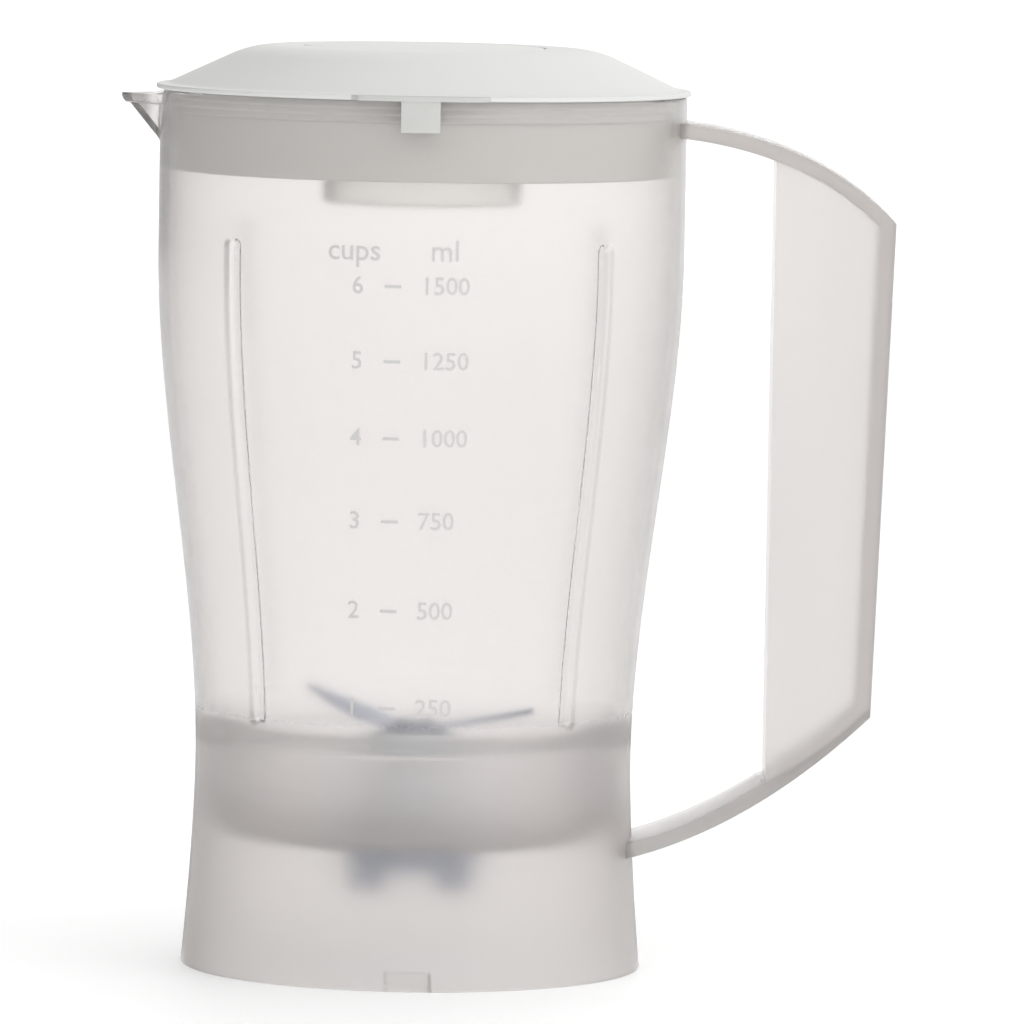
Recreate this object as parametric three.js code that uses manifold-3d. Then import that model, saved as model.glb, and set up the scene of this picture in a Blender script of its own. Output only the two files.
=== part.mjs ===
// Jug of a countertop blender: frosted jug, handle, lid, measuring cap, blade unit and drive coupling.
// Millimetres, +Z up. The jug's axis is Z. Heights below are above the foot that the jug stands on,
// and the finished object is lowered so that the drive shaft's lower end face lies at the origin.
import * as THREE from 'three';
import { ConvexGeometry } from 'three/addons/geometries/ConvexGeometry.js';
import { mergeVertices } from 'three/addons/utils/BufferGeometryUtils.js';
import Module from 'manifold-3d';

const wasm = await Module();
wasm.setup();

// ---- driving sizes ----
const fitGap = 0.3;            // clearance between neighbouring pieces
const fineRound = 64;          // facets around the large round pieces
const smallRound = 40;         // facets around the small round pieces
const pinRound = 32;           // facets around the shaft and what runs on it
const wallSteps = 9;           // steps up the swelling wall
const skirtSteps = 4;          // steps up the flared foot
const bendSteps = 12;          // steps along a bent strap or a curved outline
const cutOver = 5;             // how far a cutting shape runs past the faces it cuts

// jug
const jugHeight = 227.2;       // foot to rim
const footRadius = 59.9;
const waistRadius = 56.7;
const waistHeight = 54;
const waistStraight = 8;       // height of the nearly straight stretch above the waist
const shoulderRadius = 68.3;
const shoulderHeight = 187;
const footFlare = 1.6;         // how sharply the foot spreads
const jugWall = 2.3;
const bowlRadius = 51.7;       // outer radius of the blade bowl that hangs inside the skirt
const bowlWall = 2.2;
const floorThickness = 2.6;
const floorTop = 36.3;
const bowlCorner = 8.5;        // fillet between bowl wall and floor
const ledgeHeight = 62;        // where the bowl meets the jug wall
const ledgeThickness = 3.5;
const ledgeRound = 3;          // rounding of the bowl's mouth
const ledgeRise = 4.5;         // the ledge slopes up this much to the wall
const roofDrop = 0.6;          // the skirt's hollow ends this far under the ledge
const roofRise = 3.5;          // the hollow's top slopes up with the ledge
const ribCount = 4;
const ribFoot = 67.5;
const ribTop = 189;
const ribWidth = 4;
const ribDepth = 1;
const ribTurn = 45;            // degrees from the spout to the first rib
const lugCount = 4;
const lugWidth = 12;
const lugHeight = 4.5;
const lugReach = 3.5;
const lugInset = 0.8;          // how far a lug's root stays behind the outside

// spout
const spoutReach = 10;         // beyond the jug wall
const spoutHeight = 14;
const spoutWidth = 28;
const spoutDrop = 1.2;         // its top edge below the rim
const spoutWall = 2;
const spoutNarrowing = 1.6;    // how much faster its point draws in than its sides

// handle
const handleWidth = 32;
const handleReach = 54.3;      // outermost point beyond the shoulder
const handleDrop = 6.2;        // from the rim to the strap's upper root
const cornerDrop = 31.2;       // from the rim to the upper outer corner
const handleHeel = 68;         // lower outer corner
const handleFoot = 30;         // the strap's lower root
const handleLean = 4.2;        // how far the heel tucks in under the corner
const topPull = [20.6, 9.7];   // the upper arc's pull: in from the corner, down from the rim
const heelPull = [30.4, 8.5];  // the lower arc's pull: in from the heel, up from the foot
const rootInset = 1;           // how far the lower root reaches behind the waist's outside
const strapThickness = 3.8;
const gripEdge = 23.2;         // grip's inner edge beyond the shoulder
const gripWall = 2.2;

// lid and measuring cap
const flangeOverhang = 1;
const flangeThickness = 1.3;
const lidWall = 2;
const domeInset = 2.6;         // from the flange's edge to the foot of the dome
const domeCrown = 1.4;         // drop of the rounded shoulder below the plateau
const domeShoulder = 8;        // width of that rounded shoulder
const domeUnder = 5;           // the hollow's flat top ends this far inside the shoulder
const plateauHeight = 12;      // above the rim
const plateauRing = 6.9;       // flat around the cap's recess
const skirtDepth = 20.5;
const skirtWall = 1.8;
const sealWidth = 5.5;
const sealThickness = 0.8;
const capRadius = 25.75;
const capWall = 1.7;
const capLength = 40.5;
const capOverhang = 5.25;      // disc beyond the cap's wall
const capLip = 0.8;            // chamfer at the cap's mouth
const capFloor = 2.7;          // disc and the web under it
const capFillet = 2;
const collarDepth = 15;
const gripLipHalfWidth = 18.5;
const gripLipReach = 3.2;
const catchWidth = 10;
const catchDepth = 7.6;
const catchThickness = 1.8;
const catchGap = 1.7;          // between the jug's wall and the catch
const catchDrop = 0.4;         // its top below the flange's

// blade unit
const columnRadius = 12.5;
const columnTop = 58;
const flangeOverlap = 3.4;     // flange beyond the floor's hole
const flangeHeight = 2.4;
const flangeChamfer = 0.6;
const columnFillet = 1.5;
const columnChamfer = 1;
const spigotRadius = 16.8;
const spigotClearance = 0.8;
const floorSealThickness = 1.5;
const shaftRadius = 4;
const bushRadius = 6.7;
const bushLength = 8;
const shaftSealLength = 4;
const lipHeight = 1;           // inward lip that keeps the shaft seal in
const lipGap = 0.7;            // more clearance at the lip than in the bushes
const washerThickness = 0.8;
const washerInset = 0.6;
const nutWall = 2;
const nutHeight = 3.6;
const nutGrip = 0.7;           // share of the nut's height that the spigot fills
const nutNotches = 8;
const notchWidth = 4;
const notchDepth = 1;
const notchTop = 1.2;          // left uncut above the notches
const nutWasherOverlap = 0.5;
const nutWasherThickness = 1;
const bladeThickness = 1.5;
const bladeHubRadius = 8.4;
const spacerThickness = 1.8;
const spacerStep = 0.2;        // spacer beyond the blade's hub
const rivetRadius = 5.2;
const rivetHeight = 0.8;
const rivetChamfer = 0.4;
const shaftChamfer = 0.5;
const wingReach = 34;
const wingChord = 9.5;
const wingStart = 5;
const wingTip = 2.4;           // width at the tip
const wingTwistEnd = 0.4;      // share of its length over which a wing takes its pitch
const wingFlush = 0.2;         // thinner than the hub, so that its faces stay inside it
// Each wing's turn about the shaft, rise at the tip, pitch, sweep, and how late along its length it turns up.
const wings = [
  { turn: -27, rise: 5.7, pitch: 7, sweep: 1.5, bend: 1.2 },
  { turn: 149, rise: 7.8, pitch: -9, sweep: -2, bend: 1.45 },
];

// drive coupling
const couplingInset = 0.8;     // inside the spigot, so that it follows it out through the floor
const couplingGap = 0.4;       // under the spigot
const couplingWeb = 3.22;
const dogCount = 2;
const dogHeight = 6.2;
const dogRoot = 0.5;           // how far a dog's root reaches into the web
const dogStep = 0.6;           // the dogs start this far outside the insert's seat
const dogAngle = 76;           // degrees
const insertRadius = 7.4;
const clipRadius = 6;
const clipThickness = 1;
const shaftTail = 0.9;         // shaft end below the clip

// ---- sizes worked out from the ones above ----
const rimInner = shoulderRadius - jugWall;
const floorUnder = floorTop - floorThickness;
const handleTop = jugHeight - handleDrop;
const handleCorner = jugHeight - cornerDrop;
const ledgeUnder = ledgeHeight - ledgeThickness;
const floorHole = spigotRadius + spigotClearance;
const flangeRadius = floorHole + flangeOverlap;
const nutBore = spigotRadius + fitGap;
const nutRadius = nutBore + nutWall;
const couplingRadius = spigotRadius - couplingInset;
const capDiscRadius = capRadius + capOverhang;
const floorSealBottom = floorTop + fitGap;
const flangeBottom = floorSealBottom + floorSealThickness + fitGap;
const flangeTop = flangeBottom + flangeHeight;
const nutWasherTop = floorUnder - fitGap;
const nutTop = nutWasherTop - nutWasherThickness - fitGap;
const spigotBottom = nutTop - nutHeight * nutGrip;
const bushBore = shaftRadius + fitGap;
const housingBore = bushRadius + fitGap;
const upperWasherBottom = columnTop + fitGap;
const spacerBottom = upperWasherBottom + washerThickness + fitGap;
const bladeBottom = spacerBottom + spacerThickness + fitGap;
const bladeTop = bladeBottom + bladeThickness;
const rivetBottom = bladeTop + fitGap;
const couplingTop = spigotBottom - couplingGap;
const couplingUnder = couplingTop - couplingWeb;
const clipTop = couplingUnder - fitGap;
const clipBottom = clipTop - clipThickness;
const shaftBottom = clipBottom - shaftTail;
const lipBore = bushBore + lipGap;
const upperWasherRadius = bladeHubRadius - washerInset;
const lowerWasherRadius = bushRadius - washerInset / 2;
const spacerRadius = bladeHubRadius + spacerStep;
const shaftSealTop = columnTop - lipHeight - fitGap;
const upperBushTop = shaftSealTop - shaftSealLength - fitGap;
const lowerWasherBottom = couplingTop + fitGap;
const lowerBushBottom = lowerWasherBottom + washerThickness + fitGap;
const lidBottomFace = jugHeight + fitGap;
const flangeOuter = shoulderRadius + flangeOverhang;
const lidFlangeTop = lidBottomFace + flangeThickness;
const plateauTop = jugHeight + plateauHeight;
const sealOuter = rimInner - fitGap;
const lidSkirtOuter = sealOuter - sealThickness - fitGap;
const lidSkirtInner = lidSkirtOuter - skirtWall;
const collarInner = capRadius + fitGap;
const collarOuter = collarInner + lidWall;
const recessFloor = plateauTop - capWall - fitGap;
const recessRadius = capDiscRadius + fitGap * 2;
const plateauRadius = recessRadius + plateauRing;
const domeFoot = flangeOuter - domeInset;
const domeTop = plateauRadius + domeShoulder;
const domeTopHeight = plateauTop - domeCrown;

// ---- helpers ----
const palette = {
  frosted: { color: 0xece6e2, roughness: 0.45, metalness: 0 },
  lid: { color: 0xdcddd8, roughness: 0.5, metalness: 0 },
  rubber: { color: 0xc9c8c2, roughness: 0.8, metalness: 0 },
  steel: { color: 0xb9bfc6, roughness: 0.3, metalness: 1 },
  bearing: { color: 0x9a8560, roughness: 0.5, metalness: 1 },
  coupling: { color: 0x8d939c, roughness: 0.6, metalness: 0 },
  nylon: { color: 0xb4b9bf, roughness: 0.55, metalness: 0 },
};

// A closed geometry as a solid, with its faces turned outwards.
function solidOf(geometry) {
  const bare = geometry.clone();
  bare.deleteAttribute('normal');
  bare.deleteAttribute('uv');
  const merged = mergeVertices(bare, 1e-4);
  const position = merged.attributes.position;
  const corner = [0, 1, 2].map(() => new THREE.Vector3());
  const triangles = [];
  let volume = 0;
  for (let i = 0; i < merged.index.count; i += 3) {
    const ids = [0, 1, 2].map((k) => merged.index.getX(i + k));
    if (ids[0] === ids[1] || ids[1] === ids[2] || ids[2] === ids[0]) continue;
    ids.forEach((id, k) => corner[k].fromBufferAttribute(position, id));
    volume += corner[0].dot(corner[1].clone().cross(corner[2]));
    triangles.push(ids);
  }
  if (volume < 0) triangles.forEach((ids) => ids.reverse());
  const vertProperties = Float32Array.from(position.array);
  const triVerts = Uint32Array.from(triangles.flat());
  return new wasm.Manifold(new wasm.Mesh({ numProp: 3, vertProperties, triVerts }));
}

function geometryOf(solid) {
  const mesh = solid.getMesh();
  const geometry = new THREE.BufferGeometry();
  geometry.setAttribute('position', new THREE.BufferAttribute(Float32Array.from(mesh.vertProperties), 3));
  geometry.setIndex(new THREE.BufferAttribute(Uint32Array.from(mesh.triVerts), 1));
  geometry.computeVertexNormals();
  return geometry;
}

// A solid of revolution about Z. The outline is [radius, height] points: it closes on itself, or on the axis.
function turned(outline, facets) {
  const points = outline.map(([radius, height]) => new THREE.Vector2(radius, height));
  if (points[0].x > 0 || points[points.length - 1].x > 0) points.push(points[0].clone());
  return solidOf(new THREE.LatheGeometry(points, facets).rotateX(Math.PI / 2));
}

function ring(inner, outer, bottom, top, facets = smallRound) {
  return turned([[inner, bottom], [outer, bottom], [outer, top], [inner, top]], facets);
}

function disc(radius, bottom, top, facets = smallRound) {
  return turned([[0, bottom], [radius, bottom], [radius, top], [0, top]], facets);
}

// Quarter-round from one angle to another (degrees) about a centre, in [radius, height] points.
function arc(centreRadius, centreHeight, size, from, to, steps) {
  const points = [];
  for (let i = 0; i <= steps; i += 1) {
    const angle = THREE.MathUtils.degToRad(from + ((to - from) * i) / steps);
    points.push([centreRadius + size * Math.cos(angle), centreHeight + size * Math.sin(angle)]);
  }
  return points;
}

// A flat shape in the XZ plane, extruded symmetrically along Y.
function slab(shape, width) {
  const settings = { depth: width, bevelEnabled: false, curveSegments: bendSteps };
  const geometry = new THREE.ExtrudeGeometry(shape, settings);
  return solidOf(geometry.translate(0, 0, -width / 2).rotateX(Math.PI / 2));
}

// A flat shape in the XY plane, extruded up from a height.
function plate(shape, bottom, top) {
  const depth = top - bottom;
  const geometry = new THREE.ExtrudeGeometry(shape, { depth, bevelEnabled: false, curveSegments: bendSteps });
  return solidOf(geometry.translate(0, 0, bottom));
}

function block(low, high) {
  const size = high.map((value, i) => value - low[i]);
  const geometry = new THREE.BoxGeometry(...size);
  return solidOf(geometry.translate(...low.map((value, i) => value + size[i] / 2)));
}

function spun(solid, degrees) {
  return solid.rotate([0, 0, degrees]);
}

const model = new THREE.Group();
model.position.z = -shaftBottom;

function addPart(name, solid, look) {
  const mesh = new THREE.Mesh(geometryOf(solid), new THREE.MeshStandardMaterial(palette[look]));
  mesh.name = name;
  model.add(mesh);
}

// ---- jug ----
// Outer radius: the foot flares out below the waist, and the wall swells softly up to the shoulder.
function jugRadius(height) {
  if (height < waistHeight) {
    const share = (waistHeight - height) / waistHeight;
    return waistRadius + (footRadius - waistRadius) * share ** footFlare;
  }
  const share = THREE.MathUtils.smoothstep(height, waistHeight, shoulderHeight);
  return waistRadius + (shoulderRadius - waistRadius) * share;
}

function wallLine(inset, from, to, steps) {
  const points = [];
  for (let i = 0; i <= steps; i += 1) {
    const height = from + ((to - from) * i) / steps;
    points.push([jugRadius(height) - inset, height]);
  }
  return points;
}

function jugOutside() {
  const swell = waistHeight + waistStraight;
  return turned([[0, 0], ...wallLine(0, 0, waistHeight, skirtSteps),
    ...wallLine(0, swell, shoulderHeight, wallSteps), [shoulderRadius, jugHeight], [0, jugHeight]], fineRound);
}

function jugCavity() {
  const inner = bowlRadius - bowlWall;
  const corner = bowlCorner - bowlWall;
  return turned([[0, floorTop], ...arc(inner - corner, floorTop + corner, corner, -90, 0, 5),
    ...arc(inner + ledgeRound, ledgeUnder, ledgeRound, 180, 135, 3),
    ...wallLine(jugWall, ledgeHeight + ledgeRise, shoulderHeight, wallSteps),
    [rimInner, jugHeight + cutOver], [0, jugHeight + cutOver]], fineRound);
}

function skirtHollow() {
  const roof = ledgeUnder - roofDrop;
  return turned([...arc(bowlRadius - bowlCorner, floorUnder + bowlCorner, bowlCorner, -90, 0, 5),
    [bowlRadius, roof], ...wallLine(jugWall, roof + roofRise, 0, skirtSteps),
    [footRadius - jugWall, -cutOver], [0, -cutOver], [0, floorUnder]], fineRound);
}

// A round bar that follows the wall at an inset, from the lower to the upper height, with round ends.
function wallBar(inset, radius) {
  const line = wallLine(inset, ribFoot, ribTop, wallSteps - 2).map(([x, z]) => new THREE.Vector3(x, 0, z));
  const path = new THREE.CatmullRomCurve3(line);
  const section = new THREE.Shape().absarc(0, 0, radius, 0, Math.PI * 2);
  const settings = { extrudePath: path, steps: wallSteps - 1, curveSegments: 4 };
  const bar = solidOf(new THREE.ExtrudeGeometry(section, settings));
  const ends = [line[0], line[line.length - 1]];
  return ends.reduce((whole, end) => {
    const cap = new THREE.SphereGeometry(radius, 8, 6).translate(end.x, end.y, end.z);
    return whole.add(solidOf(cap));
  }, bar);
}

function aroundAxis(solid, count, first) {
  const copies = Array.from({ length: count }, (unused, i) => spun(solid, first + (360 * i) / count));
  return copies.reduce((whole, copy) => whole.add(copy));
}

// The V of the spout: a flat top edge that runs to a point, and a keel that falls back to the wall.
function spoutWedge(inset, root) {
  const halfWidth = spoutWidth / 2 - inset;
  const tip = shoulderRadius + spoutReach - inset * spoutNarrowing;
  const top = inset > 0 ? jugHeight + cutOver : jugHeight - spoutDrop;
  const points = [];
  for (const height of [jugHeight - spoutDrop, top]) {
    points.push(new THREE.Vector3(-tip, 0, height));
    points.push(new THREE.Vector3(-root, halfWidth, height), new THREE.Vector3(-root, -halfWidth, height));
  }
  points.push(new THREE.Vector3(-root, 0, jugHeight - spoutDrop - spoutHeight + inset * spoutNarrowing));
  return solidOf(new ConvexGeometry(points));
}

function buildJug() {
  const ribRadius = ribWidth / 2;
  const grooves = aroundAxis(wallBar(ribDepth - ribRadius, ribRadius), ribCount, ribTurn);
  const ribs = aroundAxis(wallBar(jugWall + ribDepth - ribRadius, ribRadius), ribCount, ribTurn);
  const lug = block([footRadius - jugWall - lugReach, -lugWidth / 2, 0],
    [footRadius - lugInset, lugWidth / 2, lugHeight]);
  const lugs = aroundAxis(lug, lugCount, 0).intersect(jugOutside());
  return jugOutside()
    .add(spoutWedge(0, rimInner))
    .subtract(jugCavity().subtract(ribs))
    .subtract(spoutWedge(spoutWall, rimInner - cutOver))
    .subtract(skirtHollow())
    .subtract(disc(floorHole, floorUnder - cutOver, floorTop + cutOver))
    .subtract(grooves)
    .add(lugs);
}
addPart('jug_body', buildJug(), 'frosted');

// ---- handle ----
// The strap's outer line in [x, z]: a soft arc out to the corner, a leaning back, and an arc in to the root.
function strapCurves() {
  const outer = shoulderRadius + handleReach;
  const heel = outer - handleLean;
  const rootTop = new THREE.Vector2(rimInner, handleTop);
  const rootFoot = new THREE.Vector2(waistRadius - rootInset, handleFoot);
  const corner = new THREE.Vector2(outer, handleCorner);
  const topTurn = new THREE.Vector2(outer - topPull[0], jugHeight - topPull[1]);
  const top = new THREE.QuadraticBezierCurve(rootTop, topTurn, corner);
  const bottom = new THREE.QuadraticBezierCurve(new THREE.Vector2(heel, handleHeel),
    new THREE.Vector2(heel - heelPull[0], handleFoot + heelPull[1]), rootFoot);
  return { top: top.getPoints(bendSteps), bottom: bottom.getPoints(bendSteps) };
}

// The back of the grip's hollow at a height: it leans with the outside, a strap's thickness further in.
function hollowBack(height) {
  const share = THREE.MathUtils.clamp((handleCorner - height) / (handleCorner - handleHeel), 0, 1);
  return shoulderRadius + handleReach - handleLean * share - strapThickness;
}

// The same line moved inwards, and cut off where it meets the back of the hollow.
function insetCurve(points, distance) {
  const moved = points.map((point, i) => {
    const before = points[Math.max(i - 1, 0)];
    const after = points[Math.min(i + 1, points.length - 1)];
    const along = after.clone().sub(before).normalize();
    return new THREE.Vector2(point.x + along.y * distance, point.y - along.x * distance);
  });
  const line = [];
  moved.forEach((point, i) => {
    const room = hollowBack(point.y) - point.x;
    const previous = moved[Math.max(i - 1, 0)];
    const previousRoom = hollowBack(previous.y) - previous.x;
    if (room * previousRoom < 0) {
      line.push(previous.clone().lerp(point, previousRoom / (previousRoom - room)));
    }
    if (room > 0) line.push(point);
  });
  return line;
}

function buildHandle() {
  const curves = strapCurves();
  const core = new THREE.Shape([...curves.top, ...curves.bottom]);
  const hollow = [...insetCurve(curves.top, strapThickness), ...insetCurve(curves.bottom, strapThickness)];
  const channel = slab(new THREE.Shape(hollow), handleWidth - gripWall * 2);
  const openSide = block([0, -handleWidth, 0], [shoulderRadius + gripEdge, handleWidth, jugHeight]);
  const window = slab(new THREE.Shape(hollow), handleWidth + cutOver).intersect(openSide);
  const aroundWall = wallLine(-fitGap, 0, jugHeight, wallSteps * 3);
  const wallClearance = turned([[0, 0], ...aroundWall, [0, jugHeight]], fineRound);
  return slab(core, handleWidth).subtract(channel).subtract(window).subtract(wallClearance);
}
addPart('handle', buildHandle(), 'frosted');

// ---- lid, its seal and the measuring cap ----
function buildLid() {
  const hollowTop = recessFloor - lidWall;
  const body = turned([
    [flangeOuter, lidBottomFace], [flangeOuter, lidFlangeTop],
    [domeFoot, lidFlangeTop], [domeTop, domeTopHeight],
    [domeTop - domeShoulder / 2, plateauTop - catchDrop], [plateauRadius, plateauTop],
    [recessRadius, plateauTop], [recessRadius, recessFloor], [collarInner, recessFloor],
    [collarInner, recessFloor - collarDepth], [collarOuter, recessFloor - collarDepth],
    [collarOuter, hollowTop], [domeTop - domeUnder, hollowTop], [domeTop, hollowTop + domeCrown - catchDrop],
    [lidSkirtInner, lidFlangeTop - lidWall / 2],
    [lidSkirtInner, jugHeight - skirtDepth], [lidSkirtOuter, jugHeight - skirtDepth],
    [lidSkirtOuter, lidBottomFace],
  ], fineRound);
  const lipOuter = flangeOuter + gripLipReach;
  const lip = ring(domeFoot, lipOuter, lidBottomFace, lidFlangeTop, fineRound)
    .intersect(block([-gripLipHalfWidth, -lipOuter, 0], [gripLipHalfWidth, 0, plateauTop]));
  const catchBack = -(shoulderRadius + catchGap);
  const lug = block([-catchWidth / 2, catchBack - catchThickness, jugHeight - catchDepth],
    [catchWidth / 2, catchBack, lidFlangeTop - catchDrop]);
  return body.add(lip).add(lug);
}
addPart('lid', buildLid(), 'lid');
const sealInner = lidSkirtOuter + fitGap;
addPart('lid_seal', ring(sealInner, sealOuter, jugHeight - sealWidth, jugHeight - fitGap, fineRound), 'rubber');

function buildCap() {
  const capBottom = plateauTop - capLength;
  const capInner = capRadius - capWall;
  const roof = plateauTop - capFloor;
  return turned([[0, plateauTop], [capDiscRadius, plateauTop], [capDiscRadius, plateauTop - capWall],
    [capRadius, plateauTop - capWall], [capRadius, capBottom + capLip], [capRadius - capLip / 2, capBottom],
    [capInner, capBottom], [capInner, roof - capFillet], [capInner - capFillet, roof], [0, roof]], fineRound);
}
addPart('measuring_cap', buildCap(), 'lid');

// ---- bearing unit, clamped to the floor by a ring nut ----
addPart('bearing_housing', turned([
  [housingBore, spigotBottom], [spigotRadius, spigotBottom], [spigotRadius, flangeBottom],
  [flangeRadius, flangeBottom], [flangeRadius, flangeTop - flangeChamfer],
  [flangeRadius - flangeChamfer, flangeTop], [columnRadius + columnFillet, flangeTop],
  [columnRadius, flangeTop + columnFillet], [columnRadius, columnTop - columnChamfer],
  [columnRadius - columnChamfer, columnTop], [lipBore, columnTop], [lipBore, columnTop - lipHeight],
  [housingBore, columnTop - lipHeight],
], smallRound), 'nylon');
const floorSealTop = floorSealBottom + floorSealThickness;
addPart('floor_seal', ring(floorHole + fitGap, flangeRadius, floorSealBottom, floorSealTop), 'rubber');

// A ring that runs on the shaft, with its bore clear of it.
function shaftRing(radius, bottom, height) {
  return ring(bushBore, radius, bottom, bottom + height, pinRound);
}
addPart('upper_bush', shaftRing(bushRadius, upperBushTop - bushLength, bushLength), 'bearing');
addPart('lower_bush', shaftRing(bushRadius, lowerBushBottom, bushLength), 'bearing');
addPart('shaft_seal', shaftRing(bushRadius, shaftSealTop - shaftSealLength, shaftSealLength), 'rubber');

const nutWasherRadius = nutRadius + nutWasherOverlap;
const nutWasherBottom = nutWasherTop - nutWasherThickness;
addPart('nut_washer', ring(nutBore, nutWasherRadius, nutWasherBottom, nutWasherTop), 'nylon');

function buildNut() {
  const body = ring(nutBore, nutRadius, nutTop - nutHeight, nutTop);
  const notch = block([nutRadius - notchDepth, -notchWidth / 2, nutTop - nutHeight - cutOver],
    [nutRadius + cutOver, notchWidth / 2, nutTop - notchTop]);
  return body.subtract(aroundAxis(notch, nutNotches, 0));
}
addPart('housing_nut', buildNut(), 'nylon');

// ---- shaft, blade and coupling, which spin together ----
const rivetTop = rivetBottom + rivetHeight;
addPart('blade_shaft', turned([[0, shaftBottom], [shaftRadius - shaftChamfer, shaftBottom],
  [shaftRadius, shaftBottom + shaftChamfer], [shaftRadius, rivetBottom], [rivetRadius, rivetBottom],
  [rivetRadius, rivetTop - rivetChamfer], [rivetRadius - rivetChamfer, rivetTop], [0, rivetTop]],
pinRound), 'steel');
addPart('upper_thrust_washer', shaftRing(upperWasherRadius, upperWasherBottom, washerThickness), 'nylon');
addPart('lower_thrust_washer', shaftRing(lowerWasherRadius, lowerWasherBottom, washerThickness), 'nylon');
addPart('blade_spacer', shaftRing(spacerRadius, spacerBottom, spacerThickness), 'steel');

// One wing along +X before it is turned: a curved outline, pitched about its length and bent up to the tip.
function buildWing({ turn, rise, pitch, sweep, bend }) {
  const half = wingChord / 2;
  const length = wingReach - wingStart;
  const bulge = sweep * 1.2;   // both edges bow a little past the sweep
  const outline = new THREE.Shape();
  outline.moveTo(0, -half);
  outline.quadraticCurveTo(length * 0.6, bulge - half, length, sweep - wingTip / 2);
  outline.quadraticCurveTo(length + wingTip / 2, sweep, length, sweep + wingTip / 2);
  outline.quadraticCurveTo(length * 0.6, bulge + half, 0, half);
  const depth = bladeThickness - wingFlush;
  const geometry = new THREE.ExtrudeGeometry(outline, { depth, bevelEnabled: false, curveSegments: 8 });
  geometry.translate(0, 0, -depth / 2);
  const position = geometry.attributes.position;
  for (let i = 0; i < position.count; i += 1) {
    const share = THREE.MathUtils.clamp(position.getX(i) / length, 0, 1);
    const angle = THREE.MathUtils.degToRad(pitch) * THREE.MathUtils.smoothstep(share, 0, wingTwistEnd);
    const y = position.getY(i);
    const z = position.getZ(i);
    position.setY(i, y * Math.cos(angle) - z * Math.sin(angle));
    position.setZ(i, y * Math.sin(angle) + z * Math.cos(angle) + rise * share ** bend);
  }
  geometry.translate(wingStart, 0, bladeBottom + bladeThickness / 2);
  return spun(solidOf(geometry), turn);
}

function buildBlade() {
  const hub = disc(bladeHubRadius, bladeBottom, bladeTop);
  const hole = disc(bushBore, bladeBottom - cutOver, bladeTop + cutOver, pinRound);
  return wings.map(buildWing).reduce((whole, wing) => whole.add(wing), hub).subtract(hole);
}
addPart('blade', buildBlade(), 'steel');

function buildCoupling() {
  const seat = insertRadius + fitGap;
  const web = ring(seat, couplingRadius, couplingUnder, couplingTop);
  const half = THREE.MathUtils.degToRad(dogAngle / 2);
  const sector = new THREE.Shape();
  sector.absarc(0, 0, couplingRadius, -half, half);
  sector.absarc(0, 0, seat + dogStep, half, -half, true);
  const dog = plate(sector, couplingUnder - dogHeight, couplingUnder + dogRoot);
  return web.add(aroundAxis(dog, dogCount, 0));
}
addPart('drive_coupling', buildCoupling(), 'coupling');
addPart('coupling_insert', shaftRing(insertRadius, couplingUnder, couplingWeb), 'bearing');
addPart('coupling_clip', shaftRing(clipRadius, clipBottom, clipThickness), 'steel');

export default model;
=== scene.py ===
import math

import bmesh
import bpy
from mathutils import Matrix, Vector


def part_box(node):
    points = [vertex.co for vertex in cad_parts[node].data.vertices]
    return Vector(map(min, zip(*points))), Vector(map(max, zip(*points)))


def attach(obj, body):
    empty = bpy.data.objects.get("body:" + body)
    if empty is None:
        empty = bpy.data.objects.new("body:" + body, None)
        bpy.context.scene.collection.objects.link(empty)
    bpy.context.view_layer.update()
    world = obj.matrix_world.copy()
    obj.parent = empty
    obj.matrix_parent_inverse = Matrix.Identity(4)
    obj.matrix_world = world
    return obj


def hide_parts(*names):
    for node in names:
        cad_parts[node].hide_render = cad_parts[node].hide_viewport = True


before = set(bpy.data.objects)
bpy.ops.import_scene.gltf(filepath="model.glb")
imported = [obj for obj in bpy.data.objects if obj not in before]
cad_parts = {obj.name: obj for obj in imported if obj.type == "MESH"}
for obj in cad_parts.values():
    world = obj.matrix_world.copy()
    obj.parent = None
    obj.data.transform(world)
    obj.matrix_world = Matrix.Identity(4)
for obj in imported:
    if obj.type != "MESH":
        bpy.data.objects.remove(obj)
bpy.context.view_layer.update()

mm = 0.001
jugLow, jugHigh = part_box("jug_body")
foot = jugLow.z  # the plane the jug stands on
rim = jugHigh.z
shoulder = jugHigh.y  # outer radius of the wall at the rim
print("frame loaded, foot at", round(foot, 5))


class Value:
    # a shader socket that takes part in Python arithmetic
    def __init__(self, tree, socket):
        self.tree = tree
        self.socket = socket

    def math(self, operation, other=None, swapped=False):
        node = self.tree.nodes.new("ShaderNodeMath")
        node.operation = operation
        sides = [self, other] if not swapped else [other, self]
        for place, side in enumerate(sides):
            if isinstance(side, Value):
                self.tree.links.new(side.socket, node.inputs[place])
            elif side is not None:
                node.inputs[place].default_value = side
        return Value(self.tree, node.outputs[0])

    def __add__(self, other):
        return self.math("ADD", other)

    __radd__ = __add__

    def __sub__(self, other):
        return self.math("SUBTRACT", other)

    def __rsub__(self, other):
        return self.math("SUBTRACT", other, True)

    def __mul__(self, other):
        return self.math("MULTIPLY", other)

    __rmul__ = __mul__


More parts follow.
